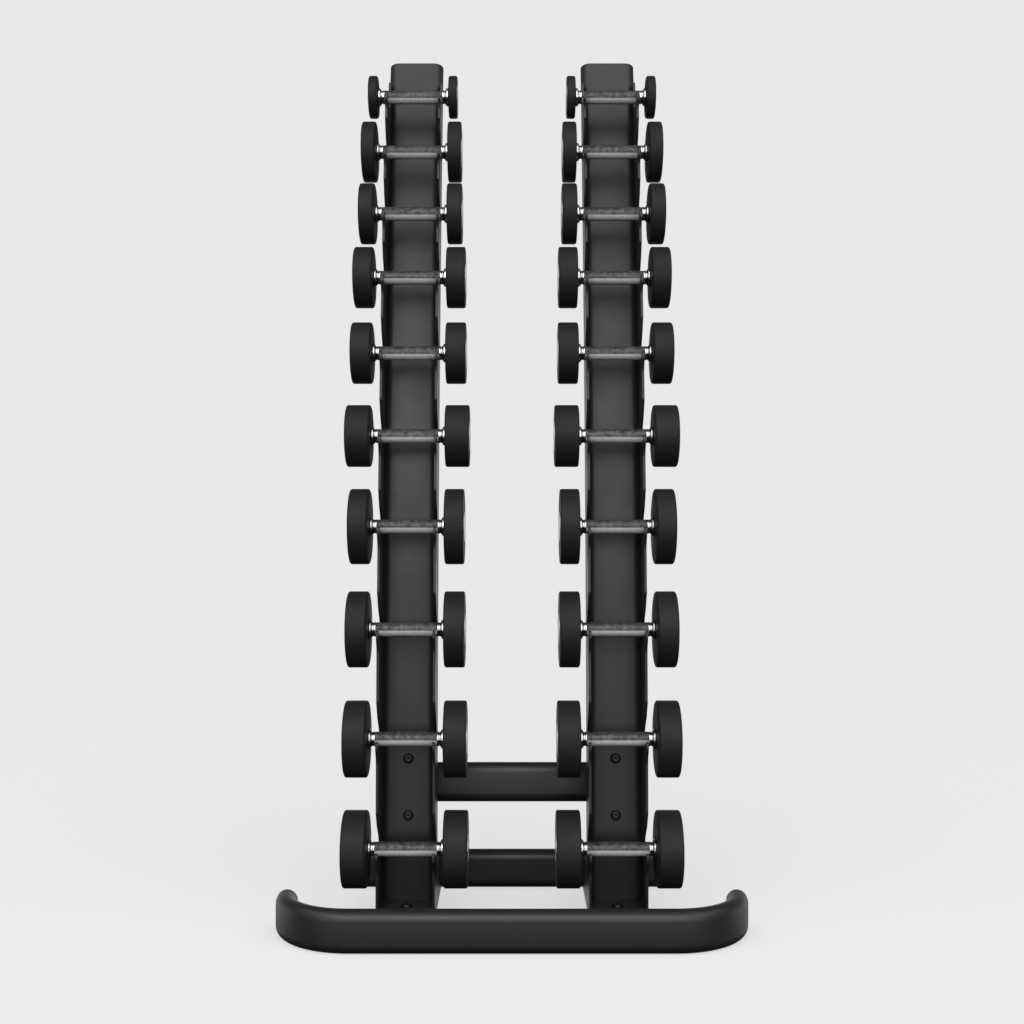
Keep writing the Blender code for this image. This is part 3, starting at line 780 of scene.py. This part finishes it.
def hook_points(top_level):
    """One hook, as (ahead, up, corner easing): from under its nose, over the lip, down the ramp, round
    the saddle's arc, back along the pocket's floor, and up under the roof to the front edge."""
    ramp, pocket = RAMP_ANGLE, POCKET_ANGLE
    crest = NOSE_AHEAD - LIP_ROUND
    crest_up = crest * np.tan(ramp) - SADDLE_RADIUS / np.cos(ramp)
    turn = np.linspace(ramp, -pocket, 14)
    arc = np.stack([SADDLE_RADIUS * np.sin(turn), -SADDLE_RADIUS * np.cos(turn), 0 * turn], axis=1)
    floor_end = POCKET_BEHIND - POCKET_CORNER
    floor_up = floor_end * np.tan(pocket) - SADDLE_RADIUS / np.cos(pocket)
    start = [
        [EDGE_AHEAD, NOSE_ROOT_UP, 0.012],
        [NOSE_AHEAD, NOSE_UP, 0.006],
        [NOSE_AHEAD, crest_up - LIP_ROUND, 0.0024],
        [crest, crest_up, 0.0024],
    ]
    back = [[-floor_end, floor_up, 0.003], [-POCKET_BEHIND, floor_up + POCKET_CORNER, 0.003]]
    roof = [[-floor_end, POCKET_HEIGHT, 0.006], *ROOF, [EDGE_AHEAD, ROOF_EDGE_UP, 0.005]]
    return np.concatenate([start, arc, back] + ([] if top_level else [roof]))


def shoulder():
    """How far behind the handles a plate's inner face meets the upright's round side."""
    radius = UPRIGHT_DEPTH / 2
    across = INSIDE_HALF - (TOWER_HALF - radius)
    return UPRIGHT_SETBACK + radius - np.sqrt(radius**2 - across**2)


def plate_outline():
    """Outline of a saddle plate in (y, z), with a corner easing for each point, then eased."""
    points = [[-EDGE_AHEAD - DEPTH_CENTRE, FLOOR_ROOM, 0.003]]
    for index, angle in enumerate(LEVEL_ANGLES):
        hook = hook_points(index == len(LEVEL_ANGLES) - 1)
        y, z = local_place(angle, hook[:, 0], hook[:, 1])
        points += np.stack([y, z, hook[:, 2]], axis=1).tolist()
    top = LEVEL_ANGLES[-1] + PLATE_ABOVE_TOP_HANDLE / ARC_RADIUS
    back = shoulder() - GAP
    for angle, behind, ease in (
        (LEVEL_ANGLES[-1] + HORN_ROOT_UP / ARC_RADIUS, HORN_SETBACK, 0.004),
        (top, HORN_SETBACK, 0.010),
        (top, back, 0.002),
    ):
        y, z = arc_place(angle, behind)
        points.append([float(y), float(z), ease])
    angles = np.linspace(top, GUSSET_TOP / ARC_RADIUS, 60)[1:]
    y, z = arc_place(angles, back)
    points += np.stack([y, z, 0 * y], axis=1).tolist()
    y_front, _ = arc_place(GUSSET_TOP / ARC_RADIUS, back)
    y_back, _ = arc_place(GUSSET_TOP / ARC_RADIUS, UPRIGHT_SETBACK + UPRIGHT_DEPTH)
    points.append([float(y_front), GUSSET_TOP, 0.0])
    points.append([float(y_back) + GAP, GUSSET_TOP, 0.006])
    low, high = box("rear_foot_bar")
    radius = (high[1] - low[1]) / 2 + GAP
    centre_y, centre_z = (low[1] + high[1]) / 2, radius - GAP
    turn = np.linspace(np.pi / 2, np.arccos((centre_z - FLOOR_ROOM) / radius), 8)
    points.append([centre_y - radius, GUSSET_TOE, 0.001])
    y, z = centre_y - radius * np.sin(turn), centre_z - radius * np.cos(turn)
    points += np.stack([y, z, 0 * y], axis=1).tolist()
    points = np.array(points)
    return rounded(points[:, :2], points[:, 2])


class RACK_OT_saddle_plates(bpy.types.Operator):
    """Hooked side plates that carry the handles, and the beads that weld them to the uprights"""

    bl_idname = "rack.saddle_plates"
    bl_label = "Saddle plates"

    def execute(self, context):
        coat = frame_coat(context.scene.rack_looks)
        sizes = context.scene.rack_sizes
        rings = slab(plate_outline(), PLATE_THICKNESS, sizes.plate_edge)
        last = LEVEL_ANGLES[-1] + PLATE_WELD_PAST_TOP_HANDLE / ARC_RADIUS
        angles = np.linspace(PLATE_WELD_START / ARC_RADIUS, last, 1500)
        for side in SIDES:
            for place in ("outer", "inner"):
                node = f"saddle_plate_{side}_{place}"
                low = box(node)[0][0]
                shape = Surface().rings(rings + np.array([low, 0.0, 0.0]))
                name = f"hook_plate_{side}_{place}"
                add(name, shape.mesh(name, sharp=20.0), coat, "root", "frame_paint", node)
            shape = Surface()
            for sign in (-1.0, 1.0):
                y, z = arc_place(angles, shoulder() + PLATE_WELD_BACK)
                x = np.full_like(y, TOWER_X[side] + sign * (INSIDE_HALF + PLATE_WELD_OUT))
                shape.rings(bead(np.stack([x, y, z], axis=1), sizes.weld_radius, sides=8))
            name = "plate_welds_" + side
            add(name, shape.mesh(name), coat, "root", "frame_paint")
        return {"FINISHED"}


class RACK_OT_cross_brace(bpy.types.Operator):
    """Brace tube behind the uprights with its two end plates and their weld beads"""

    bl_idname = "rack.cross_brace"
    bl_label = "Cross brace"

    def execute(self, context):
        coat = bar_coat(context.scene.rack_looks)
        low, high = box("cross_brace")
        angle = float(np.arcsin(BRACE_HEIGHT / (ARC_RADIUS - UPRIGHT_SETBACK)))
        width, height, thickness = BRACE_PLATE
        radius = ARC_RADIUS - UPRIGHT_SETBACK - UPRIGHT_DEPTH
        curve = (height / 2) ** 2 / (2 * radius)
        facets = radius * (1 - np.cos(UPRIGHT_TOP / (2 * ARC_STEPS)))
        behind = UPRIGHT_SETBACK + UPRIGHT_DEPTH + curve + facets + GAP
        outer, inner = bar_section(), bar_section(BAR_WALL)
        back = thickness + np.ptp(outer[:, 1]) / 2 - BRACE_WELD
        turns = ((outer, low[0]), (outer, high[0]), (inner, high[0]), (inner, low[0]))
        rings = [np.column_stack([np.full(len(s), x), back - s[:, 1], s[:, 0]]) for s, x in turns]
        shape = Surface().rings(leaned(np.array(rings), angle, behind), loop=True)
        half = np.array([width, height]) / 2
        corners = np.array([[-1.0, -1.0], [1.0, -1.0], [1.0, 1.0], [-1.0, 1.0]]) * half
        outline = rounded(corners, [BRACE_PLATE_CORNER] * 4)
        for side in SIDES:
            rings = slab(outline, thickness, BRACE_PLATE_EDGE)
            local = np.stack([rings[..., 1] + TOWER_X[side], rings[..., 0], rings[..., 2]], axis=-1)
            shape.rings(leaned(local, angle, behind))
            reach = (width / 2 - WELD_MARGIN) * np.array([-1.0, 1.0])
            xs = np.linspace(*(TOWER_X[side] + reach), 240)
            for up in (-BRACE_WELD_OFFSET, BRACE_WELD_OFFSET):
                line = np.stack([xs, np.full_like(xs, thickness), np.full_like(xs, up)], axis=1)
                shape.rings(bead(leaned(line, angle, behind), context.scene.rack_sizes.weld_radius))
        add("brace_tube", shape.mesh("brace_tube", sharp=30.0), coat, "root", "frame_paint", "cross_brace")
        return {"FINISHED"}


def bolt_rings(head_radius, length, sides=48):
    """Button-head bolt along Z: shank, rounded underside, domed head on an elliptic profile, and a
    hexagon socket whose ring radius is half the flats' distance over cos of the angle from a flat."""
    turn = np.arange(sides) * 2 * np.pi / sides
    unit = np.stack([np.cos(turn), np.sin(turn)], axis=1)
    hexagon = (SOCKET_HALF_ACROSS / np.cos((turn + np.pi / 6) % (np.pi / 3) - np.pi / 6))[:, None]
    top = BOLT_HEAD_HEIGHT
    dome = np.linspace(0.06, 1.0, 9) * np.pi / 2
    rows = [(0.0052, -length), (SHANK_RADIUS, -length + 0.001), (SHANK_RADIUS, 0.0)]
    rows += [(head_radius - 0.0004, 0.0)]
    rows += [(head_radius * (0.55 + 0.45 * np.cos(a)), top * np.sin(a)) for a in dome]
    rows += [(hexagon + 0.0004, top), (hexagon, top - 0.0004), (hexagon, top - SOCKET_DEPTH)]
    rows += [(0.0012, top - SOCKET_DEPTH - 0.0007)]
    return np.array([np.column_stack([unit * radius, np.full(sides, up)]) for radius, up in rows])


class RACK_OT_bolts(bpy.types.Operator):
    """Button-head bolts through the uprights into the brace, and down through the foot rails"""

    bl_idname = "rack.bolts"
    bl_label = "Bolts"

    def execute(self, context):
        metal = bolt_black()
        angle = float(np.arcsin(BRACE_HEIGHT / (ARC_RADIUS - UPRIGHT_SETBACK)))
        for side in SIDES:
            low, high = box("foot_bolt_" + side)
            rings = bolt_rings((high[0] - low[0]) / 2, high[2] - low[2] - BOLT_HEAD_HEIGHT)
            rings = rings + np.array([*((low + high) / 2)[:2], high[2] - BOLT_HEAD_HEIGHT])
            name = "foot_screw_" + side
            mesh = Surface().rings(rings).mesh(name)
            add(name, mesh, metal, "root", "bolt_black", "foot_bolt_" + side)
            for height, sign in (("lower", -1.0), ("upper", 1.0)):
                node = f"brace_bolt_{side}_{height}"
                low, high = box(node)
                rings = bolt_rings((high[0] - low[0]) / 2, BRACE_BOLT_LENGTH)
                up = rings[..., 1] + sign * BRACE_BOLT_OFFSET
                local = np.stack([rings[..., 0], -rings[..., 2], up], axis=-1)
                rings = leaned(local, angle, UPRIGHT_SETBACK - GAP, TOWER_X[side])
                name = f"brace_screw_{side}_{height}"
                add(name, Surface().rings(rings).mesh(name), metal, "root", "bolt_black", node)
        return {"FINISHED"}


def seat(side, level):
    """Angle and tower place of a dumbbell's axis."""
    return float(np.arcsin(middle(f"heads_{side}_{level}")[2] / ARC_RADIUS)), TOWER_X[side]


def head_profile(radius, outer, disc, edge):
    """Half section (along, radius) of a head: flat inner face with a shallow groove round the collar,
    rim, and outer face with a recess for the disc. Returns also the disc's radius."""
    rim = min(disc + 0.0012, radius * 0.72)
    inner, face = HANDLE_HALF, outer - DISC_RECESS
    points = [
        [inner, ROD_RADIUS], [inner, COLLAR_RADIUS + 0.003], [inner + 0.0006, COLLAR_RADIUS + 0.006],
        [inner, COLLAR_RADIUS + 0.009], [inner, radius], [outer, radius], [outer, rim + 0.002],
        [face, rim], [face, ROD_RADIUS],
    ]
    easing = [0, 0.001, 0.002, 0.001, edge, edge, 0.001, 0.0006, 0]
    return rounded(points, easing, closed=False), rim - 0.0008


def disc_profile(face, radius):
    """Half section of a disc that stands on a head's recess: eased rim and a shallow dished middle."""
    foot, top, dish = face + 0.00005, face + 0.0015, face + 0.0011
    points = [
        [foot, 0.003], [foot, radius], [top, radius], [top, radius - 0.004], [dish, radius - 0.005],
        [dish, 0.003],
    ]
    return rounded(points, [0, 0, 0.0007, 0.0004, 0.0004, 0], closed=False)


class RACK_OT_heads(bpy.types.Operator):
    """Rubber-skinned heads with rounded rims and recessed faces, and the metal discs in them"""

    bl_idname = "rack.heads"
    bl_label = "Heads"

    def execute(self, context):
        looks, sizes = context.scene.rack_looks, context.scene.rack_sizes
        skin, metal = rubber_skin(looks), disc_metal(looks)
        for side in SIDES:
            for level in LEVELS:
                node = f"heads_{side}_{level}"
                low, high = box(node)
                angle, x = seat(side, level)
                outer = (high[0] - low[0]) / 2
                profile, plate = head_profile(HEAD_RADIUS[level], outer, sizes.disc_radius, sizes.head_edge)
                lid = disc_profile(outer - DISC_RECESS, plate)
                shape, plates = Surface(), Surface()
                for sign in (-1.0, 1.0):
                    mirror = np.array([sign, 1.0])
                    shape.rings(leaned(turned(profile * mirror, 72), angle, 0.0, x))
                    plates.rings(leaned(turned(lid * mirror, 64), angle, 0.0, x))
                body = f"dumbbell_{side}_{level}"
                slot = "head_iron" if level in IRON_LEVELS else "head_rubber"
                add(f"weight_{side}_{level}", shape.mesh("weight", sharp=40.0), skin, body, slot, node)
                add(f"disc_{side}_{level}", plates.mesh("disc"), metal, body, "handle_chrome")
        return {"FINISHED"}


def knurled_grip(sizes):
    """Grid round the grip whose points stand out and in by turns, (-1)^(row + side), which makes
    rows of small pyramids; the rows next to the ends are plain. Returns also how much of a crest
    each point is, and the angles round the grip."""
    rows, sides = sizes.knurl_rows, sizes.knurl_sides
    along = np.linspace(-GRIP_HALF + 0.0014, GRIP_HALF - 0.0014, rows)
    turn = np.arange(sides) * 2 * np.pi / sides
    crest = ((-1.0) ** (np.arange(rows)[:, None] + np.arange(sides)[None]) + 1) / 2
    crest[[0, -1]] = 0.5
    radius = GRIP_RADIUS - sizes.knurl_depth * (1 - crest)
    along = np.repeat(along[:, None], sides, axis=1)
    rings = np.stack([along, radius * np.cos(turn), radius * np.sin(turn)], axis=-1)
    low, high = [
        (turned([[place * (GRIP_HALF - 0.0006), GRIP_RADIUS - 0.0005]], sides),
         turned([[place * GRIP_HALF, GRIP_RADIUS - 0.0012]], sides))
        for place in (-1.0, 1.0)
    ]
    plain = np.full((2, sides), 0.8)
    rings = np.concatenate([low[1], low[0], rings, high[0], high[1]])
    return rings, np.concatenate([plain, crest, plain]), turn


def painted_sheen_strip(turn, angle, rows):
    """Mask of the grip's brighter strip, a painted sheen low on its front: 1 between two normals'
    elevations, eased over a few degrees. The strip turns with the height at which a dumbbell lies, as a
    highlight would."""
    start = SHEEN_AT_FLOOR + (SHEEN_AT_TOP - SHEEN_AT_FLOOR) * angle / UPRIGHT_TOP
    elevation = np.degrees((2 * np.pi - turn) % (2 * np.pi) - np.pi + angle)
    below = start - elevation
    mask = np.clip((below + 2.0) / 8.0, 0.0, 1.0) * np.clip((SHEEN_WIDTH - below) / 10.0, 0.0, 1.0)
    return np.repeat(mask[None], rows, axis=0)


def neck_profile():
    """Half section of a neck: a ring next to the grip, a waist, and a flare to the collar."""
    start, end = GRIP_HALF, HANDLE_HALF
    points = [
        [start - 0.0004, 0.0070], [start - 0.0004, 0.0138], [start + 0.0006, 0.0143],
        [start + 0.0028, 0.0143], [start + 0.0034, 0.0132], [start + 0.0062, 0.0138],
        [start + 0.0084, 0.0178], [start + 0.0092, COLLAR_RADIUS], [end - 0.0012, COLLAR_RADIUS],
        [end - GAP, 0.0180], [end - GAP, 0.0070],
    ]
    easing = [0, 0.0003, 0.0006, 0.0006, 0.0008, 0.003, 0.0015, 0.0008, 0.0008, 0.0003, 0]
    return rounded(points, easing, closed=False)


class RACK_OT_handles(bpy.types.Operator):
    """Knurled grips and the turned chrome necks and collars at their ends"""

    bl_idname = "rack.handles"
    bl_label = "Handles"

    def execute(self, context):
        looks = context.scene.rack_looks
        knurl, chrome = knurled_finish(looks), polished(looks)
        rings, crest, turn = knurled_grip(context.scene.rack_sizes)
        neck = neck_profile()
        for side in SIDES:
            for level in LEVELS:
                angle, x = seat(side, level)
                body = f"dumbbell_{side}_{level}"
                mesh = Surface().rings(leaned(rings, angle, 0.0, x)).mesh("grip", sharp=15.0)
                # Painted sheen: this mask marks where the grip takes its brighter colours
                sheen_strip = painted_sheen_strip(turn, angle, len(rings))
                mesh.attributes.new("crest", "FLOAT", "POINT").data.foreach_set("value", crest.ravel())
                mesh.attributes.new("sheen_strip", "FLOAT", "POINT").data.foreach_set("value", sheen_strip.ravel())
                add(f"grip_{side}_{level}", mesh, knurl, body, "handle_chrome", f"handle_{side}_{level}")
                shape = Surface()
                for sign in (-1.0, 1.0):
                    shape.rings(leaned(turned(neck * np.array([sign, 1.0]), 64), angle, 0.0, x))
                add(f"necks_{side}_{level}", shape.mesh("necks"), chrome, body, "handle_chrome")
        return {"FINISHED"}


# Stage


def sky(tree, height, stops):
    """Grey by height: a ramp from straight down (0) over the horizon (0.5) to straight up (1)."""
    ramp = tree.nodes.new("ShaderNodeValToRGB")
    while len(ramp.color_ramp.elements) < len(stops):
        ramp.color_ramp.elements.new(0.5)
    for element, (position, value) in zip(ramp.color_ramp.elements, stops):
        element.position = position
        element.color = (value, value, value, 1.0)
    tree.links.new(height, ramp.inputs["Fac"])
    return ramp.outputs["Color"]


def studio(scene, backdrop):
    """Studio that is brightest in front and above, with an even backdrop. Its front and its back
    are two ramps by height, mixed by how far forward a direction points. The front is dim to the
    sides."""
    world = bpy.data.worlds.new("studio")
    world.use_nodes = True
    tree = world.node_tree
    tree.nodes.clear()
    place = tree.nodes.new("ShaderNodeTexCoord")
    split = tree.nodes.new("ShaderNodeSeparateXYZ")
    tree.links.new(place.outputs["Generated"], split.inputs["Vector"])
    height = ranged(tree, split.outputs["Z"], -1.0, 1.0)
    aside = ranged(tree, math_node(tree, "ABSOLUTE", split.outputs["X"]), 0.55, 0.9)
    front = mixed(tree, aside, sky(tree, height, FRONT_SKY), SIDE_GREY)
    backward = ranged(tree, split.outputs["Y"], -0.25, 0.35)
    light = tree.nodes.new("ShaderNodeBackground")
    tree.links.new(mixed(tree, backward, front, sky(tree, height, BACK_SKY)), light.inputs["Color"])
    even = tree.nodes.new("ShaderNodeBackground")
    even.inputs["Color"].default_value = (backdrop, backdrop, backdrop, 1.0)
    rays = tree.nodes.new("ShaderNodeLightPath")
    mix = tree.nodes.new("ShaderNodeMixShader")
    tree.links.new(rays.outputs["Is Camera Ray"], mix.inputs["Fac"])
    tree.links.new(light.outputs["Background"], mix.inputs[1])
    tree.links.new(even.outputs["Background"], mix.inputs[2])
    end = tree.nodes.new("ShaderNodeOutputWorld")
    tree.links.new(mix.outputs["Shader"], end.inputs["Surface"])
    scene.world = world


def pale_floor(stage):
    """Disc that fades out towards its rim, so that no horizon shows."""
    radii = (0.0001, 1.0, 2.5, 9.0)
    rings = np.array([np.column_stack([circle(r, 96), np.full(96, -0.0002)]) for r in radii])
    floor = bpy.data.objects.new("floor", Surface().rings(rings, caps=False).mesh("floor"))
    bpy.context.scene.collection.objects.link(floor)
    made = bpy.data.materials.new("pale_floor")
    made.use_nodes = True
    tree = made.node_tree
    shader = tree.nodes["Principled BSDF"]
    shader.inputs["Base Color"].default_value = (stage.floor, stage.floor, stage.floor, 1.0)
    shader.inputs["Emission Color"].default_value = (1.0, 1.0, 1.0, 1.0)
    shader.inputs["Emission Strength"].default_value = stage.floor_glow
    shader.inputs["Roughness"].default_value = 0.9
    shader.inputs["Specular IOR Level"].default_value = 0.0
    place = tree.nodes.new("ShaderNodeTexCoord")
    length = tree.nodes.new("ShaderNodeVectorMath")
    length.operation = "LENGTH"
    tree.links.new(place.outputs["Object"], length.inputs[0])
    fade = ranged(tree, length.outputs["Value"], 1.2, 3.6, 1.0, 0.0)
    fade.node.interpolation_type = "SMOOTHSTEP"
    tree.links.new(fade, shader.inputs["Alpha"])
    floor.data.materials.append(made)
    floor.visible_glossy = False
    floor.visible_diffuse = False


def lamp(name, place, aim, size, power):
    """Round soft lamp that looks from its place at its aim."""
    light = bpy.data.lights.new(name, "AREA")
    light.energy = power
    light.shape = "DISK"
    light.size = size
    made = bpy.data.objects.new(name, light)
    made.location = place
    made.rotation_euler = (Vector(aim) - Vector(place)).to_track_quat("-Z", "Y").to_euler()
    bpy.context.scene.collection.objects.link(made)


class RACK_OT_stage(bpy.types.Operator):
    """Pale floor, soft studio light and the camera"""

    bl_idname = "rack.stage"
    bl_label = "Stage"

    def execute(self, context):
        scene = context.scene
        stage = scene.rack_stage
        studio(scene, stage.backdrop)
        pale_floor(stage)
        lamp("key", (-0.9, -3.6, 2.6), (0.0, 0.0, 0.9), 2.2, 26.0)
        lamp("fill", (1.4, -3.4, 1.9), (0.0, 0.0, 0.8), 2.4, 14.0)
        lens = bpy.data.cameras.new("camera")
        lens.sensor_width = 36.0
        lens.lens = stage.lens
        lens.shift_y = stage.view_shift
        camera = bpy.data.objects.new("camera", lens)
        camera.location = (0.0, -stage.camera_distance - DEPTH_CENTRE, stage.camera_height)
        camera.rotation_euler = (np.pi / 2, 0.0, 0.0)
        scene.collection.objects.link(camera)
        scene.camera = camera
        scene.view_settings.view_transform = "Standard"
        return {"FINISHED"}


OPERATORS = (
    RACK_OT_floor_bars,
    RACK_OT_foot_rails,
    RACK_OT_uprights,
    RACK_OT_top_caps,
    RACK_OT_saddle_plates,
    RACK_OT_cross_brace,
    RACK_OT_bolts,
    RACK_OT_heads,
    RACK_OT_handles,
    RACK_OT_stage,
)


class RACK_PT_panel(bpy.types.Panel):
    """Sidebar list of the rack's settings and pieces"""

    bl_idname = "RACK_PT_panel"
    bl_label = "Dumbbell rack"
    bl_space_type = "VIEW_3D"
    bl_region_type = "UI"
    bl_category = "Rack"

    def draw(self, context):
        for group in (context.scene.rack_looks, context.scene.rack_sizes, context.scene.rack_stage):
            for name in group.bl_rna.properties.keys():
                if name not in ("rna_type", "name"):
                    self.layout.prop(group, name)
        for operator in OPERATORS:
            self.layout.operator(operator.bl_idname)


CLASSES = (RackLooks, RackSizes, RackStage, *OPERATORS, RACK_PT_panel)


def register():
    for item in CLASSES:
        bpy.utils.register_class(item)
    bpy.types.Scene.rack_looks = bpy.props.PointerProperty(type=RackLooks)
    bpy.types.Scene.rack_sizes = bpy.props.PointerProperty(type=RackSizes)
    bpy.types.Scene.rack_stage = bpy.props.PointerProperty(type=RackStage)


def unregister():
    del bpy.types.Scene.rack_stage
    del bpy.types.Scene.rack_sizes
    del bpy.types.Scene.rack_looks
    for item in reversed(CLASSES):
        bpy.utils.unregister_class(item)


def main():
    register()
    for operator in OPERATORS:
        group, name = operator.bl_idname.split(".")
        getattr(getattr(bpy.ops, group), name)()


if __name__ == "__main__":
    main()
